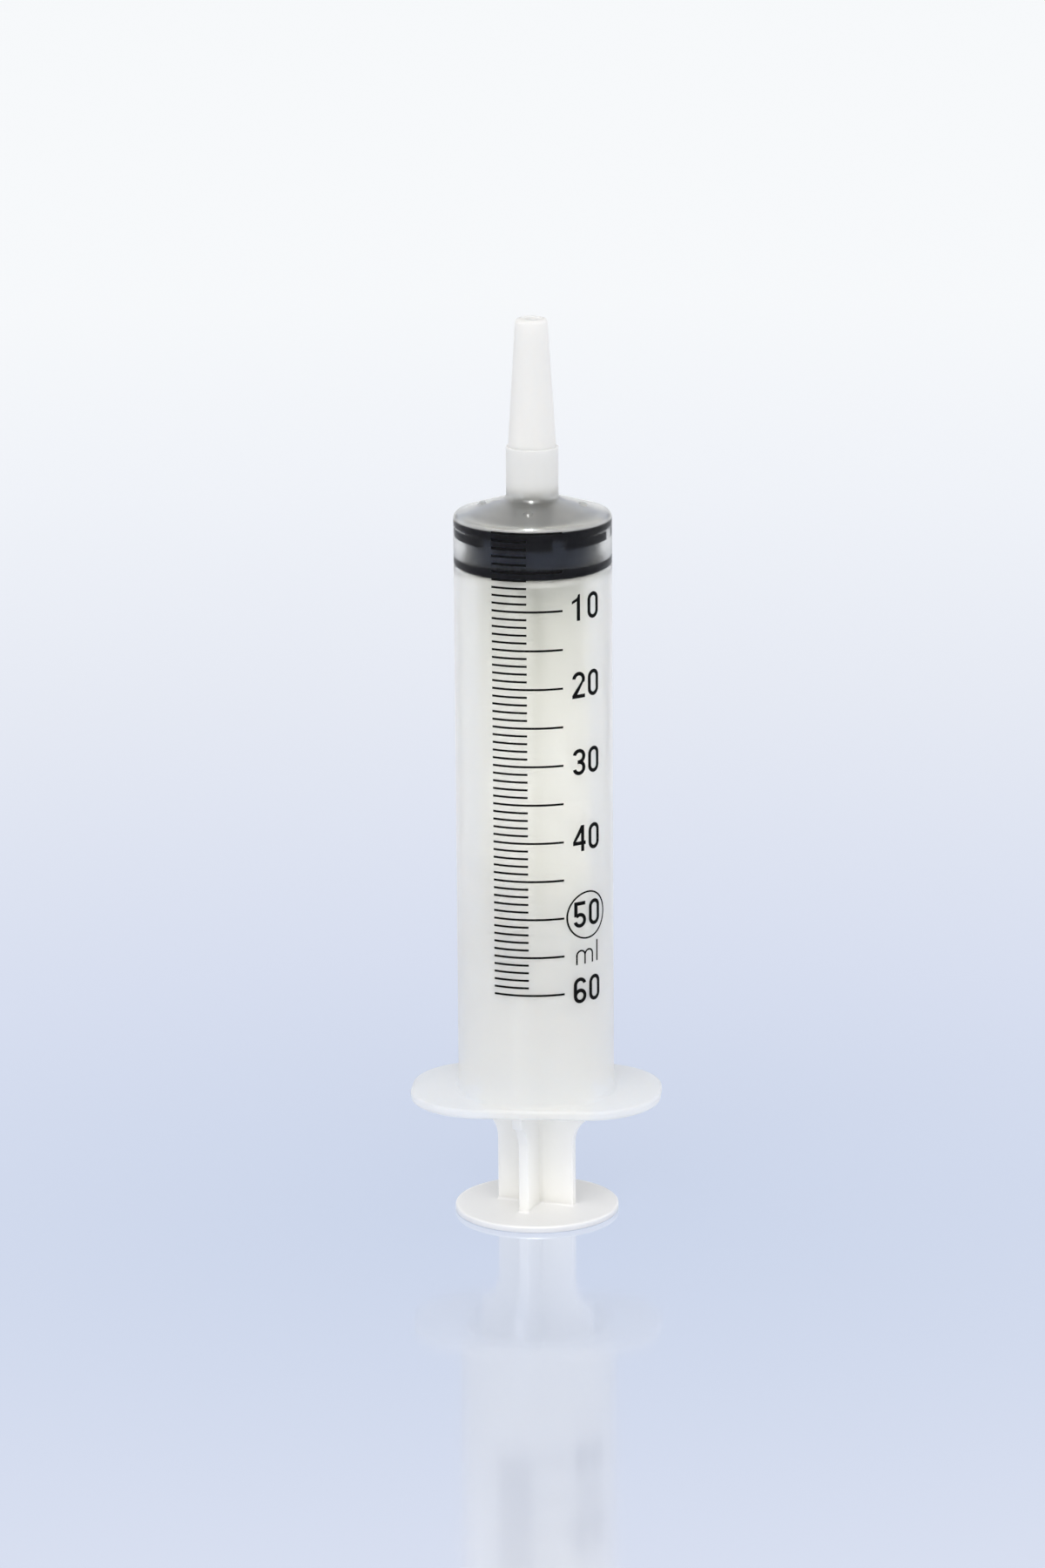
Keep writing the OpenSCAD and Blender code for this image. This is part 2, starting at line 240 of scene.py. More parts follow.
def new_object(name, bm):
    """An object of a mesh, at the origin."""
    mesh = bpy.data.meshes.new(name)
    bm.to_mesh(mesh)
    bm.free()
    made = bpy.data.objects.new(name, mesh)
    bpy.context.scene.collection.objects.link(made)
    return made


def evaluated(piece):
    """A plain mesh of an object with its modifiers applied."""
    seen = piece.evaluated_get(bpy.context.evaluated_depsgraph_get())
    return bpy.data.meshes.new_from_object(seen)


def finished(name, bm, material, smooth=SMOOTH_DEGREES):
    """A smooth piece of a mesh, with the edges sharper than an angle kept sharp."""
    piece = new_object(name, bm)
    mesh = piece.data
    mesh.materials.append(material)
    mesh.shade_smooth()
    mesh.set_sharp_from_angle(angle=math.radians(smooth))
    even = piece.modifiers.new("even", "WEIGHTED_NORMAL")
    even.keep_sharp = True
    piece.data = evaluated(piece)
    piece.modifiers.remove(even)
    bpy.data.meshes.remove(mesh)
    return piece


def joined(parts):
    """Fuses closed shapes to one closed shape and returns it as a mesh."""
    base = parts[0]
    for other in parts[1:]:
        join = base.modifiers.new("join", "BOOLEAN")
        join.operation, join.solver, join.object = "UNION", "EXACT", other
    mesh = evaluated(base)
    bm = bmesh.new()
    bm.from_mesh(mesh)
    bpy.data.meshes.remove(mesh)
    for part in parts:
        bpy.data.objects.remove(part)
    bmesh.ops.remove_doubles(bm, verts=bm.verts, dist=1e-7)
    return bm


# Barrel ----------------------------------------------------------------------

def inside_z(r):
    """Height of the inside of the shoulder."""
    return BORE_TOP + (BORE_R - r) * SLOPE


def shoulder_z(r):
    """Height of the outside of the shoulder."""
    return inside_z(r) + SHOULDER_WALL


def flange_edge(angle, inset):
    """Distance from the axis to the flange's outline, drawn in by inset, in the direction of an angle."""
    c, s = abs(math.cos(angle)), abs(math.sin(angle))
    half_length, half_depth = FLANGE_LENGTH / 2, FLANGE_DEPTH / 2
    corner_x, corner_y = half_length - FLANGE_CORNER_R, half_depth - FLANGE_CORNER_R
    if s * (half_length - inset) <= corner_y * c:
        return (half_length - inset) / c
    if c * (half_depth - inset) <= corner_x * s:
        return (half_depth - inset) / s
    along = corner_x * c + corner_y * s
    return along + math.sqrt(along ** 2 - corner_x ** 2 - corner_y ** 2 + (FLANGE_CORNER_R - inset) ** 2)


def pip_row(r):
    """A ring of the shoulder, raised where it meets a pip."""
    def row(a):
        rise = 0.0
        for k in range(PIPS):
            turn = (a - 2 * math.pi * k / PIPS + math.pi) % (2 * math.pi) - math.pi
            off = math.hypot(r - PIP_PLACE, turn * r) / PIP_R
            if off < PIP_DOME:
                rise = PIP_RISE * math.sqrt(1 - off ** 2)
            elif off < PIP_SKIRT:
                rise = PIP_RISE * PIP_SKIRT_RISE * ((PIP_SKIRT - off) / (PIP_SKIRT - PIP_DOME)) ** 2
        return (r, shoulder_z(r) + rise)
    return row


def fillet_row(turn):
    """A ring of the fillet round the barrel's foot, smaller where the flange leaves less room."""
    t = math.radians(turn)

    def row(a):
        size = min(FLANGE_FILLET, flange_edge(a, FLANGE_ROUND) - FLANGE_LAND - BARREL_R)
        return (BARREL_R + size + size * math.cos(t), FLANGE_TOP + size + size * math.sin(t))
    return row


def edge_row(inset, z):
    """A ring of the flange's edge."""
    return lambda a: (flange_edge(a, inset), z)


def barrel_rows():
    """Rings of the barrel, from the tip down the outside and up the bore."""
    rows = [(NOZZLE_BORE_R + NOZZLE_BEVEL, TIP_Z)]
    rows += arc((CONE_TIP_R - TIP_ROUND, TIP_Z - TIP_ROUND), TIP_ROUND, 90, 0)
    rows += [
        (CONE_FOOT_R, STEP_Z + STEP_FILLET[1]), (CONE_FOOT_R + STEP_FILLET[0], STEP_Z),
        (COLLAR_R - NOZZLE_BEVEL, STEP_Z), (COLLAR_R - STEP_EDGE[0], STEP_Z - STEP_EDGE[1]),
        (COLLAR_R, STEP_Z - NOZZLE_BEVEL),
    ]
    r = COLLAR_R + COLLAR_FILLET
    centre = (r, shoulder_z(r) + COLLAR_FILLET / math.cos(SLOPE_ANGLE))
    rows += arc(centre, COLLAR_FILLET, 180, 270 - SLOPE_DEGREES)
    rows += [pip_row(PIP_PLACE - PIP_BAND + 2 * PIP_BAND * i / PIP_STEPS) for i in range(PIP_STEPS + 1)]
    r = BARREL_R - SHOULDER_ROUND
    centre = (r, shoulder_z(r) - SHOULDER_ROUND / math.cos(SLOPE_ANGLE))
    rows += arc(centre, SHOULDER_ROUND, 90 - SLOPE_DEGREES, 0)
    rows += [(BARREL_R, z) for z in WALL_RINGS]

    rows += [fillet_row(180 + 90 * i / FILLET_STEPS) for i in range(FILLET_STEPS + 1)]
    for t in quarter(ARC_STEPS):
        drop = FLANGE_ROUND * (1 - math.cos(t))
        rows.append(edge_row(FLANGE_ROUND * (1 - math.sin(t)), FLANGE_TOP - drop))
    for t in quarter(ARC_STEPS):
        rise = FLANGE_ROUND * (1 - math.sin(t))
        rows.append(edge_row(FLANGE_ROUND * (1 - math.cos(t)), FLANGE_BOTTOM + rise))

    mouth_r = BORE_R + MOUTH_FLARE
    rows += [
        (mouth_r + MOUTH_BEVEL, FLANGE_BOTTOM), (mouth_r, FLANGE_BOTTOM + MOUTH_BEVEL),
        (BORE_R, FLANGE_BOTTOM + MOUTH_LENGTH),
    ]
    bead_z = FLANGE_BOTTOM + BEAD_PLACE
    for i in range(-BEAD_STEPS, BEAD_STEPS + 1):
        swell = (BEAD_R - BORE_R) * (1 + math.cos(math.pi * i / BEAD_STEPS)) / 2
        rows.append((BORE_R + swell, bead_z + BEAD_LENGTH * i / (2 * BEAD_STEPS)))
    rows += [(BORE_R, z) for z in reversed(WALL_RINGS)]
    rows += [
        (BORE_R, BORE_TOP), (NOZZLE_BORE_R, inside_z(NOZZLE_BORE_R)), (NOZZLE_BORE_R, TIP_Z - NOZZLE_BEVEL),
    ]
    return rows


def make_barrel(plastic):
    """Barrel, nozzle and flange as one moulding."""
    piece = finished("barrel_moulding", turned(barrel_rows(), BARREL_STEPS), plastic)
    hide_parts("barrel")
    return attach(piece, "barrel_body")


# Plunger rod and gasket ------------------------------------------------------

def rib_reach(z):
    """Half width of the cross at a height."""
    if z <= FLARE_Z:
        return GRIP_R
    rise = z - FLARE_Z
    if rise >= FLARE_RISE:
        return RIB_R
    return GRIP_R + FLARE_R - math.sqrt(FLARE_R ** 2 - rise ** 2)


def cross_outline(reach, half):
    """Outline of the cross with rounded rib ends and filleted inner corners."""
    inner = half + RIB_FILLET
    rib = arc((reach - RIB_CORNER, RIB_CORNER - half), RIB_CORNER, -90, 0, RIB_STEPS)
    rib += arc((reach - RIB_CORNER, half - RIB_CORNER), RIB_CORNER, 0, 90, RIB_STEPS)
    rib += arc((inner, inner), RIB_FILLET, 270, 180, RIB_STEPS)
    out = []
    for k in range(4):
        c, s = math.cos(k * math.pi / 2 + ROD_TURN), math.sin(k * math.pi / 2 + ROD_TURN)
        out += [(x * c - y * s, x * s + y * c) for x, y in rib]
    return out


def make_cross():
    """The four ribs, from just inside the thumb rest to just inside the head disc."""
    levels = [(THUMB_THICKNESS - OVERLAP, FOOT_FILLET)]
    for t in quarter(FILLET_STEPS):
        levels.append((THUMB_THICKNESS + FOOT_FILLET * (1 - math.cos(t)), FOOT_FILLET * (1 - math.sin(t))))
    levels.append((FLARE_Z, 0))
    levels += [(FLARE_Z + FLARE_RISE * math.sin(t), 0) for t in quarter(FLARE_STEPS)[1:]]
    levels += [(z, 0) for z in ROD_RINGS]
    for t in quarter(FILLET_STEPS):
        levels.append((DISC_BOTTOM - FOOT_FILLET * (1 - math.sin(t)), FOOT_FILLET * (1 - math.cos(t))))
    levels.append((DISC_BOTTOM + OVERLAP, FOOT_FILLET))
    bm, rings = lofted([
        [(x, y, z) for x, y in cross_outline(rib_reach(z) + swell, RIB_HALF + swell)] for z, swell in levels
    ])
    bm.faces.new(rings[0])
    bm.faces.new(rings[-1])
    bmesh.ops.recalc_face_normals(bm, faces=bm.faces)
    return bm


def make_plunger_rod(plastic):
    """Thumb rest, ribs, head disc and stud as one moulding."""
    rest = [(CAP_R, 0.0)]
    rest += arc((THUMB_R - FOOT_ROUND, FOOT_ROUND), FOOT_ROUND, -90, 0, FOOT_STEPS)
    rest += arc((THUMB_R - THUMB_ROUND, THUMB_THICKNESS - THUMB_ROUND), THUMB_ROUND, 0, 90, FILLET_STEPS)
    rest += [(CAP_R, THUMB_THICKNESS)]
    stud = [
        (CAP_R, DISC_BOTTOM), (DISC_R - DISC_BEVEL, DISC_BOTTOM), (DISC_R, DISC_BOTTOM + DISC_BEVEL),
        (DISC_R, DISC_TOP - DISC_BEVEL), (DISC_R - DISC_BEVEL, DISC_TOP), (NECK_R, DISC_TOP),
        (NECK_R, STUD_BOTTOM), (STUD_R, STUD_BOTTOM), (STUD_R, STUD_EDGE_TOP), (STUD_TOP_R, STUD_TOP),
    ]
    bm = joined([
        new_object("cross", make_cross()),
        new_object("rest", turned(rest, ROD_STEPS, capped=True)),
        new_object("stud", turned(stud, ROD_STEPS, capped=True)),
    ])
    piece = finished("plunger_rod_moulding", bm, plastic, smooth=FINE_SMOOTH_DEGREES)
    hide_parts("plunger_rod")
    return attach(piece, "plunger")


def pad_row(z, bevel=0.0):
    """A ring of the gasket that stands out where the pads are."""
    def row(a):
        turn = (math.degrees(a) - PAD_TURN_DEGREES + 180 / PADS) % (360 / PADS) - 180 / PADS
        on_pad = abs(turn) <= PAD_DEGREES / 2
        return (PAD_R - bevel if on_pad else GROOVE_R, z)
    return row


def make_gasket(rubber):
    """Rubber gasket with its sealing ribs, the ring of pads and the hollow for the stud."""
    edge_r = SEAL_R - SEAL_BEVEL
    rows = [
        (NOSE_R, inside_z(NOSE_R) - SEAT_GAP), (edge_r, inside_z(SEAL_R) - SEAT_GAP),
        (SEAL_R, ZERO_LINE - SEAL_BEVEL), (SEAL_R, FRONT_RIB_BOTTOM + SEAL_BEVEL), (edge_r, FRONT_RIB_BOTTOM),
        pad_row(FRONT_RIB_BOTTOM - PAD_STEP), pad_row(PAD_BOTTOM + PAD_BEVEL), pad_row(PAD_BOTTOM, PAD_BEVEL),
        (GROOVE_R, PAD_BOTTOM - PAD_STEP), (GROOVE_R, REAR_RIB_TOP + GROOVE_FILLET),
        (GROOVE_R + GROOVE_FILLET_MIDDLE, REAR_RIB_TOP + GROOVE_FILLET_MIDDLE),
        (GROOVE_R + GROOVE_FILLET, REAR_RIB_TOP),
        (edge_r, REAR_RIB_TOP), (SEAL_R - BEVEL_MIDDLE, REAR_RIB_TOP - BEVEL_MIDDLE),
        (SEAL_R, REAR_RIB_TOP - SEAL_BEVEL), (SEAL_R, GASKET_BOTTOM + SEAL_BEVEL),
        (SEAL_R - BEVEL_MIDDLE, GASKET_BOTTOM + BEVEL_MIDDLE), (edge_r, GASKET_BOTTOM),
        (THROAT_R, GASKET_BOTTOM), (THROAT_R, STUD_BOTTOM - CAVITY_GAP), (CAVITY_R, STUD_BOTTOM - CAVITY_GAP),
        (CAVITY_R, STUD_EDGE_TOP + CAVITY_GAP), (STUD_TOP_R, STUD_TOP + CAVITY_GAP),
    ]
    piece = finished("gasket_moulding", turned(rows, GASKET_STEPS, capped=True), rubber)
    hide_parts("gasket")
    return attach(piece, "seal")


# Nodes -----------------------------------------------------------------------

def feed(tree, node, inputs):
    """Gives a node's inputs their values, each of them another node's output or a plain value."""
    for name, given in inputs.items():
        if hasattr(given, "is_output"):
            tree.links.new(given, node.inputs[name])
        else:
            node.inputs[name].default_value = given


def add(tree, kind, inputs=None, **settings):
    """Adds a node with its settings and inputs."""
    node = tree.nodes.new(kind)
    for name, setting in settings.items():
        setattr(node, name, setting)
    feed(tree, node, inputs or {})
    return node


def maths(tree, operation, first, second, clamp=False):
    """What an operation makes of two numbers, kept from 0 to 1 if clamped."""
    return add(tree, "ShaderNodeMath", {0: first, 1: second}, operation=operation, use_clamp=clamp).outputs[0]


def rest_of(tree, share):
    """What a share leaves of one."""
    return maths(tree, "SUBTRACT", 1.0, share)


def ranged(tree, source, low, high):
    """Takes a source from 0 to 1 to a range from low to high."""
    return add(tree, "ShaderNodeMapRange", {"Value": source, "To Min": low, "To Max": high}).outputs["Result"]


def between(tree, source, start, end, low=0.0, high=1.0):
    """Changes smoothly from low at start to high at end."""
    inputs = {"Value": source, "From Min": start, "From Max": end, "To Min": low, "To Max": high}
    return add(tree, "ShaderNodeMapRange", inputs, interpolation_type="SMOOTHSTEP").outputs["Result"]


def tinted(tree, share, first, second):
    """Turns the first colour into the second by a share."""
    mix = add(tree, "ShaderNodeMix", {"Factor": share, "A": first, "B": second}, data_type="RGBA")
    return mix.outputs["Result"]


def blended(tree, share, first, second):
    """Turns the first shader into the second by a share."""
    return add(tree, "ShaderNodeMixShader", {0: share, 1: first, 2: second}).outputs[0]


def place(tree):
    """A point's place in metres."""
    return add(tree, "ShaderNodeTexCoord").outputs["Object"]


def length(tree, vector):
    """The length of a vector."""
    return add(tree, "ShaderNodeVectorMath", {0: vector}, operation="LENGTH").outputs["Value"]


def height(tree):
    """A point's height in millimetres."""
    split = add(tree, "ShaderNodeSeparateXYZ", {0: place(tree)})
    return maths(tree, "MULTIPLY", split.outputs["Z"], 1 / MM)


def away(tree):
    """A point's distance from the axis in millimetres."""
    flat = add(tree, "ShaderNodeVectorMath", {0: place(tree), 1: (1 / MM, 1 / MM, 0)}, operation="MULTIPLY")
    return length(tree, flat.outputs[0])


def facing(tree, power, high):
    """Rises from nothing where a surface is met square on to high at its edge."""
    layer = add(tree, "ShaderNodeLayerWeight", {"Blend": 0.5})
    return ranged(tree, maths(tree, "POWER", layer.outputs["Facing"], power), 0.0, high)


def grain(tree, scale, detail, flow=(1, 1, 1)):
    """A noise from 0 to 1, stretched along the way that the plastic flowed."""
    bend = add(tree, "ShaderNodeMapping", {"Vector": place(tree), "Scale": flow})
    noise = add(tree, "ShaderNodeTexNoise", {"Vector": bend.outputs[0], "Scale": scale, "Detail": detail})
    return noise.outputs["Fac"]


def bumped(tree, source, strength, distance):
    """A normal that a source disturbs, with its depth in metres."""
    inputs = {"Height": source, "Strength": strength, "Distance": distance}
    return add(tree, "ShaderNodeBump", inputs).outputs[0]


# Printed scale ---------------------------------------------------------------

def line_tree(ink):
    """Node tree that prints arc-shaped lines at equal steps down the barrel."""
    tree = bpy.data.node_groups.new("scale_lines", "GeometryNodeTree")
    sizes = {
        "Radius": (BARREL_R + (INK_LOW + INK_HIGH) / 2) * MM, "Film": (INK_HIGH - INK_LOW) * MM,
        "Line Width": LINE_WIDTH * MM, "Pitch": PITCH * MM, "First Height": ZERO_LINE * MM,
        "Short Angle": LINE_ANGLE, "Long Angle": LINE_ANGLE * 2,
    }
    counts = {"Lines": LINES, "Long Every": LONG_EVERY}
    for kind, values in (("NodeSocketFloat", sizes), ("NodeSocketInt", counts)):
        for name, value in values.items():
            tree.interface.new_socket(name=name, in_out="INPUT", socket_type=kind).default_value = value
    tree.interface.new_socket(name="Geometry", in_out="OUTPUT", socket_type="NodeSocketGeometry")
    given = add(tree, "NodeGroupInput").outputs

    start = add(tree, "ShaderNodeCombineXYZ", {"Z": given["First Height"]})
    step = add(tree, "ShaderNodeCombineXYZ", {"Z": maths(tree, "MULTIPLY", given["Pitch"], -1.0)})
    points = add(tree, "GeometryNodeMeshLine", {
        "Count": given["Lines"], "Start Location": start.outputs[0], "Offset": step.outputs[0],
    }, mode="OFFSET")

    index = add(tree, "GeometryNodeInputIndex").outputs[0]
    rest = maths(tree, "MODULO", index, given["Long Every"])
    first = {"A": rest, "B": 0.5}
    is_long = add(tree, "FunctionNodeCompare", first, data_type="FLOAT", operation="LESS_THAN")
    is_short = add(tree, "FunctionNodeBooleanMath", {0: is_long.outputs[0]}, operation="NOT")

    join = add(tree, "GeometryNodeJoinGeometry")
    kinds = (("Short Angle", is_short, LINE_STEPS), ("Long Angle", is_long, 2 * LINE_STEPS))
    for sweep, chosen, steps in kinds:
        bow = add(tree, "GeometryNodeCurveArc", {
            "Resolution": steps, "Radius": given["Radius"],
            "Start Angle": -math.pi / 2 - LINE_ANGLE, "Sweep Angle": given[sweep],
        })
        upright = add(tree, "GeometryNodeSetCurveNormal", {"Curve": bow.outputs["Curve"]}, mode="Z_UP")
        profile = add(tree, "GeometryNodeCurvePrimitiveQuadrilateral", {
            "Width": given["Film"], "Height": given["Line Width"],
        })
        strip = add(tree, "GeometryNodeCurveToMesh", {
            "Curve": upright.outputs["Curve"], "Profile Curve": profile.outputs["Curve"], "Fill Caps": True,
        })
        prints = add(tree, "GeometryNodeInstanceOnPoints", {
            "Points": points.outputs["Mesh"], "Selection": chosen.outputs[0],
            "Instance": strip.outputs["Mesh"],
        })
        feed(tree, join, {0: prints.outputs["Instances"]})
    real = add(tree, "GeometryNodeRealizeInstances", {0: join.outputs[0]})
    paint = add(tree, "GeometryNodeSetMaterial", {"Geometry": real.outputs[0], "Material": ink})
    add(tree, "NodeGroupOutput", {"Geometry": paint.outputs[0]})
    return tree


def make_scale_lines(ink):
    """All sixty-one lines of the scale as one plain mesh."""
    seed = new_object("lines_seed", bmesh.new())
    lines = seed.modifiers.new("lines", "NODES")
    lines.node_group = line_tree(ink)
    mesh = evaluated(seed)
    bpy.data.objects.remove(seed)
    bm = bmesh.new()
    bm.from_mesh(mesh)
    bpy.data.meshes.remove(mesh)
    bmesh.ops.recalc_face_normals(bm, faces=bm.faces)
    piece = finished("scale_lines", bm, ink, smooth=FINE_SMOOTH_DEGREES)
    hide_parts("graduations_1ml", "graduations_5ml")
    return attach(piece, "barrel_body")


def ink_on_words(ink):
    """The numbers, the ring round 50 and the unit keep their own shapes."""
    for name in ("scale_numerals", "capacity_ring", "unit_mark"):
        print_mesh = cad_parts[name].data
        print_mesh.materials.clear()
        print_mesh.materials.append(ink)


# Materials -------------------------------------------------------------------

# Colours from 0 to 255, as they show on a screen. A pair is the two ends of the plastic's faint cloudiness.
WALL_COLOURS = ((254, 254, 252), (252, 252, 249))
# painted shade: the shoulder's grey, darker than the same plastic in the wall
SHOULDER_SHADE_COLOUR = (204, 204, 200)
CONE_COLOURS = ((224, 224, 223), (221, 221, 220))
COLLAR_COLOURS = ((217, 218, 218), (214, 215, 215))
# painted light: the nozzle's bore, whitened so that the tip's opening shows no shade
BORE_LIGHT_COLOUR = (253, 253, 253)
FLANGE_COLOURS = ((251, 250, 245), (248, 247, 241))
ROD_COLOURS = ((237, 236, 231), (234, 233, 228))
# painted shade: the rod's grey near the head, for the light the gasket keeps off
HEAD_SHADE_COLOUR = (210, 210, 205)
REST_COLOUR = (243, 243, 243)
# painted sheen: the pale light at the sides of the gasket's groove
GROOVE_SHEEN_COLOUR = (250, 250, 240)

# Near-black colours, from 0 to 1 as light adds up
OILED_RUBBER = ((0.0012, 0.0014, 0.0025, 1), (0.004, 0.0045, 0.007, 1))
DULL_RUBBER = ((0.008, 0.011, 0.021, 1), (0.014, 0.018, 0.030, 1))
INK_BLACK = ((0.001, 0.001, 0.001, 1), (0.006, 0.006, 0.006, 1))
BLACK_SHINE = 0.04                      # specular level of the rubber and the ink

# Where one finish, or one painted light or shade, turns into the next, in millimetres of height
NOZZLE_FADE = (145.8, 150.0)
# partly painted light: the milky veil starts high up the wall to lighten the shade inside above the flange;
# in the flange it is the plastic's own
FLANGE_AND_PAINTED_LIGHT_FADE = (78.0, 26.5)
SHOULDER_FADE = (142.3, 143.4)
# painted highlight: a thin whiter ring along the shoulder's rounded edge
RIM_HIGHLIGHT_FADES = ((142.5, 142.8), (143.0, 143.3))
GASKET_FADE = (132.7, 131.2)
COLLAR_FADE = (157.6, 156.2)
# painted shade on the rod, greying it towards the head
HEAD_SHADE_FADE = (90, 131)
REST_FADE = (1.35, 2.0)

# The same, in millimetres from the axis
# where the painted light in the nozzle's bore begins
BORE_LIGHT_FADE = (NOZZLE_BORE_R + 0.6, NOZZLE_BORE_R + 0.1)
# also where the painted sheen of the groove begins
GROOVE_FADE = (GROOVE_R + 0.5, GROOVE_R + 0.1)

# Grain: size and detail of the noise, and its stretch along the flow
CLOUD = (60, 3)
BARREL_FLOW = (1, 1, 0.08)
ROD_FLOW = (1, 1, 0.15)
ROD_GRAIN = (900, 2)
ROD_BUMP = (0.06, 0.00002)
RUBBER_GRAIN = (400, 4)
RUBBER_BUMP = (0.15, 0.00003)
INK_GRAIN = (2500, 3)

# Barrel: how milky and hazy its parts are, and how light goes through it
FLANGE_MILK = 0.95
FLANGE_ALPHA = 0.42
# painted highlight: how milky the thin ring on the shoulder's edge is
RIM_HIGHLIGHT_HAZE = 0.36
SHOULDER_HAZE = 0.12
EDGE_POWER = 1.5
WALL_ROUGHNESS = (0.276, 0.44)          # clear and milky
MILKY_ENOUGH = 0.7                      # from here on the wall is no rougher
CLOUD_ROUGHNESS = 0.03                  # that the cloudiness adds
CLEAR_IOR = 1.17                        # low, so that the gasket stays sharp and dark behind the rough wall
COAT_IOR = 1.5
COAT_ROUGHNESS = 0.08
BARREL_DEPTH = 4                        # of the light under the surface, in millimetres
BARREL_DEPTH_COLOUR = (1.0, 0.95, 0.9)

# Plunger rod and gasket
ROD_ROUGHNESS = 0.36
ROD_ROUGHNESS_SHARES = (0.85, 1.15)
ROD_IOR = 1.49
ROD_DEPTH = 6.0
REST_DEPTH_SHARE = 0.35                 # of the light that goes under the thumb rest's surface
RUBBER_ROUGHNESS = (0.32, 0.5)
# painted sheen in the gasket's groove
GROOVE_SHEEN_WEIGHT = 0.46
GROOVE_SHEEN_ROUGHNESS = 0.4
INK_ROUGHNESS = (0.45, 0.65)


def srgb(r, g, b):
    """A colour written as it shows on a screen, 0 to 255."""
    def one(c):
        c /= 255
        return c / 12.92 if c <= 0.04045 else ((c + 0.055) / 1.055) ** 2.4
    return (one(r), one(g), one(b), 1)


def new_material(name):
    """A material with its node tree and its shader."""
    m = bpy.data.materials.new(name)
    m.use_nodes = True
    return m, m.node_tree, m.node_tree.nodes["Principled BSDF"]


def cloudy(tree, cloud, colours):
    """A pair of screen colours, mixed by the cloudiness."""
    return tinted(tree, cloud, srgb(*colours[0]), srgb(*colours[1]))


def barrel_plastic():
    """Polypropylene, clear in the thin wall and milky where it is thick: in the nozzle and the flange, and up
    the wall above it as painted light.
    """
    m, tree, shader = new_material("barrel_clear")
    z = height(tree)
    cloud = grain(tree, *CLOUD, BARREL_FLOW)
    nozzle = between(tree, z, *NOZZLE_FADE)
    # milky flange, and painted light: a veil up the wall that lightens the shade inside
    flange = between(tree, z, *FLANGE_AND_PAINTED_LIGHT_FADE, 0.0, FLANGE_MILK)
    shoulder = between(tree, z, *SHOULDER_FADE)
    milky = maths(tree, "ADD", nozzle, flange)

    # Haze: a thin ring round the shoulder's edge that paints its highlight, the shoulder, and the wall's
    # edges below the gasket
    rim_highlight = maths(tree, "SUBTRACT", *[between(tree, z, *fade, 0.0, RIM_HIGHLIGHT_HAZE) for fade in RIM_HIGHLIGHT_FADES])
    edges = maths(tree, "MULTIPLY", between(tree, z, *GASKET_FADE), facing(tree, EDGE_POWER, 1.0))
    haze_and_highlight = maths(tree, "ADD", rim_highlight, maths(tree, "MULTIPLY", shoulder, SHOULDER_HAZE))
    haze_and_highlight = maths(tree, "ADD", haze_and_highlight, edges, clamp=True)

    # painted shade: the shoulder is tinted grey
    thin = tinted(tree, shoulder, cloudy(tree, cloud, WALL_COLOURS), srgb(*SHOULDER_SHADE_COLOUR))
    cone, collar = cloudy(tree, cloud, CONE_COLOURS), cloudy(tree, cloud, COLLAR_COLOURS)
    slim = tinted(tree, between(tree, z, *COLLAR_FADE), cone, collar)
    # painted light: the nozzle's bore is whitened against the shade in the hole
    slim = tinted(tree, between(tree, away(tree), *BORE_LIGHT_FADE), slim, srgb(*BORE_LIGHT_COLOUR))
    thick = tinted(tree, flange, slim, cloudy(tree, cloud, FLANGE_COLOURS))
    rough = between(tree, milky, 0.0, MILKY_ENOUGH, *WALL_ROUGHNESS)
    feed(tree, shader, {
        "Base Color": tinted(tree, milky, thin, thick),
        "Alpha": ranged(tree, flange, 1.0, FLANGE_ALPHA),
        "Transmission Weight": maths(tree, "MULTIPLY", rest_of(tree, haze_and_highlight), rest_of(tree, milky)),
        "Roughness": maths(tree, "ADD", rough, ranged(tree, cloud, 0.0, CLOUD_ROUGHNESS)),
        "IOR": CLEAR_IOR,
        "Coat Weight": maths(tree, "SUBTRACT", shoulder, nozzle, clamp=True),
        "Coat Roughness": COAT_ROUGHNESS,
        "Coat IOR": COAT_IOR,
        "Subsurface Weight": 1.0,
        "Subsurface Radius": BARREL_DEPTH_COLOUR,
        "Subsurface Scale": BARREL_DEPTH * MM,
    })
    return m


def rod_plastic():
    """White polypropylene with faint flow lines, greyed by painted shade towards the head, and whiter in the
    thumb rest.
    """
    m, tree, shader = new_material("rod_white")
    z = height(tree)
    cloud = grain(tree, *CLOUD, ROD_FLOW)
    # painted shade: the ribs turn grey towards the head disc
    shaded_shaft = tinted(tree, between(tree, z, *HEAD_SHADE_FADE), cloudy(tree, cloud, ROD_COLOURS), srgb(*HEAD_SHADE_COLOUR))
    feed(tree, shader, {
        "Base Color": tinted(tree, between(tree, z, *REST_FADE, 1.0, 0.0), shaded_shaft, srgb(*REST_COLOUR)),
        "Roughness": ranged(tree, cloud, *[ROD_ROUGHNESS * share for share in ROD_ROUGHNESS_SHARES]),
        "IOR": ROD_IOR,
        "Subsurface Weight": between(tree, z, *REST_FADE, REST_DEPTH_SHARE, 1.0),
        "Subsurface Radius": (1.0, 1.0, 1.0),
        "Subsurface Scale": ROD_DEPTH * MM,
        "Normal": bumped(tree, grain(tree, *ROD_GRAIN, ROD_FLOW), *ROD_BUMP),
    })
    return m


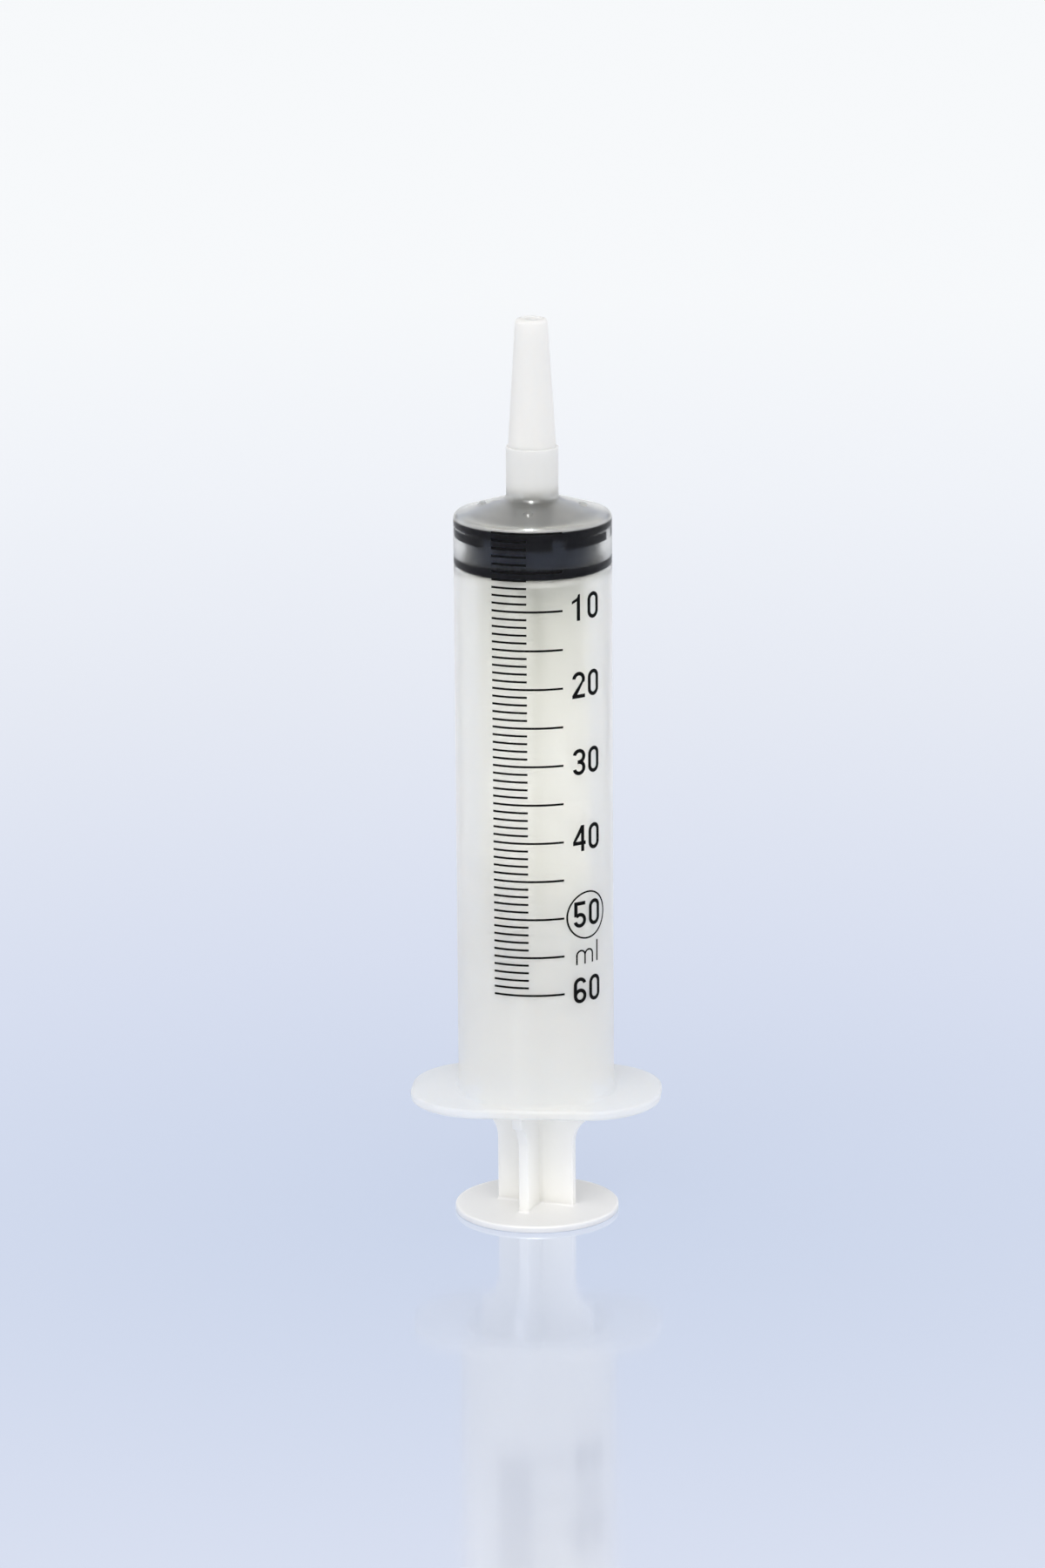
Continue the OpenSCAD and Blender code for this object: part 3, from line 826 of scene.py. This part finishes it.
def gasket_rubber():
    """Black rubber: oiled where it seals, and with a pale painted sheen in its groove."""
    m, tree, shader = new_material("gasket_black")
    cloud = grain(tree, *RUBBER_GRAIN)
    # the groove's duller rubber, and its painted sheen
    dull_and_sheen = between(tree, away(tree), *GROOVE_FADE)
    oiled, dull = tinted(tree, cloud, *OILED_RUBBER), tinted(tree, cloud, *DULL_RUBBER)
    feed(tree, shader, {
        "Base Color": tinted(tree, dull_and_sheen, oiled, dull),
        "Roughness": ranged(tree, cloud, *RUBBER_ROUGHNESS),
        "Specular IOR Level": BLACK_SHINE,
        "Sheen Weight": maths(tree, "MULTIPLY", dull_and_sheen, GROOVE_SHEEN_WEIGHT),
        "Sheen Roughness": GROOVE_SHEEN_ROUGHNESS,
        "Sheen Tint": srgb(*GROOVE_SHEEN_COLOUR),
        "Normal": bumped(tree, cloud, *RUBBER_BUMP),
    })
    return m


def scale_ink():
    """Black printing ink, a little uneven."""
    m, tree, shader = new_material("scale_black")
    cloud = grain(tree, *INK_GRAIN)
    feed(tree, shader, {
        "Base Color": tinted(tree, cloud, *INK_BLACK),
        "Roughness": ranged(tree, cloud, *INK_ROUGHNESS),
        "Specular IOR Level": BLACK_SHINE,
    })
    return m


# Stage -----------------------------------------------------------------------

WHITE = (254, 254, 255)
BACKDROP = ((201, 212, 234), (216, 223, 241), (231, 235, 245), (242, 245, 251), (250, 252, 254))
FLOOR_PLACES = (0.0, 0.18, 0.43, 0.69, 1.0)                     # metres from the axis
SKY_PLACES = (0.0, 0.179, 0.21, 0.241, 0.28, 0.325, 0.6)        # heights on a sphere of radius 1

# Floor: metres, and shares of its light
FLOOR_R = 8
FLOOR_STEPS = 128
FLOOR_DROP = 0.00002
FLOOR_GLOW = 0.85
FLOOR_SHEEN = 0.5
FLOOR_ROUGHNESS = 0.1

WORLD_COLOUR = (1.0, 0.99, 0.975, 1)
WORLD_STRENGTH = 0.65

# Lamps: place and size in metres, power in watts, and colour
LAMP_AIM = (0, 0, 0.09)
PLAIN = (1, 1, 1)
LAMPS = {
    "spark": ((-0.03, -0.46, 1.35), (0.14, 0.14), 80.0, PLAIN),
    "key": ((-0.1, -0.95, 1.02), (1.6, 0.6), 7.6, (1.0, 0.985, 0.96)),
    "low": ((0.0, -1.0, 0.16), (2.0, 0.3), 2.6, (1.0, 0.97, 0.92)),
    "left": ((-0.98, 0.3, 0.22), (1.0, 0.4), 1.1, PLAIN),
    "right": ((0.98, 0.3, 0.22), (1.0, 0.4), 2.4, PLAIN),
}
GLINT_ONLY = ("spark",)         # shows in the gloss of the shoulder and lights nothing


def ramp(tree, source, places, colours):
    """Colours along a source from 0 to 1."""
    band = add(tree, "ShaderNodeValToRGB", {"Fac": source})
    stops = band.color_ramp.elements
    while len(stops) < len(places):
        stops.new(0.5)
    for stop, position, colour in zip(sorted(stops, key=lambda k: k.position), places, colours):
        stop.position = position
        stop.color = srgb(*colour)
    return band.outputs[0]


def seen_rays(tree):
    """One where a ray comes from the camera, a mirror or glass."""
    path = add(tree, "ShaderNodeLightPath")
    total = path.outputs["Is Camera Ray"]
    for name in ("Is Glossy Ray", "Is Transmission Ray"):
        total = maths(tree, "ADD", total, path.outputs[name], clamp=True)
    return total


def make_floor():
    """A pale glossy floor, bluer round the object and white in the distance."""
    bm = bmesh.new()
    bmesh.ops.create_circle(bm, cap_ends=True, segments=FLOOR_STEPS, radius=FLOOR_R)
    for v in bm.verts:
        v.co.z = -FLOOR_DROP
    m, tree, shader = new_material("floor_sheen")
    tree.nodes.remove(shader)
    colour = ramp(tree, length(tree, place(tree)), FLOOR_PLACES, BACKDROP)
    matte = add(tree, "ShaderNodeBsdfDiffuse", {"Color": colour})
    glow = add(tree, "ShaderNodeEmission", {"Color": colour})
    glow_share = maths(tree, "MULTIPLY", seen_rays(tree), FLOOR_GLOW)
    body = blended(tree, glow_share, matte.outputs[0], glow.outputs[0])
    sheen = add(tree, "ShaderNodeBsdfGlossy", {"Color": (1, 1, 1, 1), "Roughness": FLOOR_ROUGHNESS})
    path = add(tree, "ShaderNodeLightPath")
    shine = maths(tree, "MULTIPLY", path.outputs["Is Camera Ray"], facing(tree, 1.0, FLOOR_SHEEN))
    surface = blended(tree, shine, body, sheen.outputs[0])
    feed(tree, tree.nodes["Material Output"], {"Surface": surface})
    floor = finished("floor", bm, m)


def make_world():
    """Even white light. The camera and mirrors see the backdrop, and a ray through glass sees white."""
    world = bpy.data.worlds.new("studio")
    bpy.context.scene.world = world
    world.use_nodes = True
    tree = world.node_tree
    where = add(tree, "ShaderNodeTexCoord")
    split = add(tree, "ShaderNodeSeparateXYZ", {0: where.outputs["Generated"]})
    far_first = tuple(reversed(BACKDROP))
    sky = ramp(tree, split.outputs["Z"], SKY_PLACES, far_first[:1] + far_first + (WHITE,))
    path = add(tree, "ShaderNodeLightPath")
    seen = tinted(tree, path.outputs["Is Transmission Ray"], sky, srgb(*WHITE))
    shown = add(tree, "ShaderNodeBackground", {"Color": seen})
    light = tree.nodes["Background"]
    feed(tree, light, {"Color": WORLD_COLOUR, "Strength": WORLD_STRENGTH})
    first_look = maths(tree, "SUBTRACT", 1.0, path.outputs["Diffuse Depth"], clamp=True)
    share = maths(tree, "MULTIPLY", seen_rays(tree), first_look)
    surface = blended(tree, share, light.outputs[0], shown.outputs[0])
    feed(tree, tree.nodes["World Output"], {"Surface": surface})


def make_lights():
    """Soft lamps in front, above and to both sides, and a small one for the glints."""
    for name, (where, size, power, colour) in LAMPS.items():
        data = bpy.data.lights.new(name, "AREA")
        data.shape = "RECTANGLE"
        data.size, data.size_y = size
        data.energy = power
        data.color = colour
        lamp = bpy.data.objects.new(name, data)
        lamp.location = where
        lamp.rotation_euler = (Vector(LAMP_AIM) - Vector(where)).to_track_quat("-Z", "Y").to_euler()
        bpy.context.scene.collection.objects.link(lamp)
        if name in GLINT_ONLY:
            lamp.visible_transmission = lamp.visible_diffuse = False


def make_camera():
    """The photograph's camera: its place, tilt and slight roll."""
    turn = Matrix.Rotation(CAMERA_TURN, 3, "Z")
    right = Vector((1, 0, 0))
    up = Vector((0, math.sin(CAMERA_TILT), math.cos(CAMERA_TILT)))
    ahead = Vector((0, math.cos(CAMERA_TILT), -math.sin(CAMERA_TILT)))
    c, s = math.cos(CAMERA_ROLL), math.sin(CAMERA_ROLL)
    axes = [turn @ (right * c + up * s), turn @ (up * c - right * s), turn @ -ahead]
    data = bpy.data.cameras.new("photo_camera")
    data.sensor_width = SENSOR
    data.lens = LENS
    data.clip_start, data.clip_end = CLIP_METRES
    camera = bpy.data.objects.new("photo_camera", data)
    camera.location = turn @ (Vector((CAMERA_SIDE, -CAMERA_AWAY, CAMERA_HEIGHT)) * MM)
    camera.rotation_euler = Matrix(axes).transposed().to_euler()
    bpy.context.scene.collection.objects.link(camera)
    bpy.context.scene.camera = camera


make_camera()
ink = scale_ink()
make_barrel(barrel_plastic())
make_plunger_rod(rod_plastic())
make_gasket(gasket_rubber())
make_scale_lines(ink)
ink_on_words(ink)
make_floor()
make_world()
make_lights()
bpy.context.scene.view_settings.view_transform = "Standard"
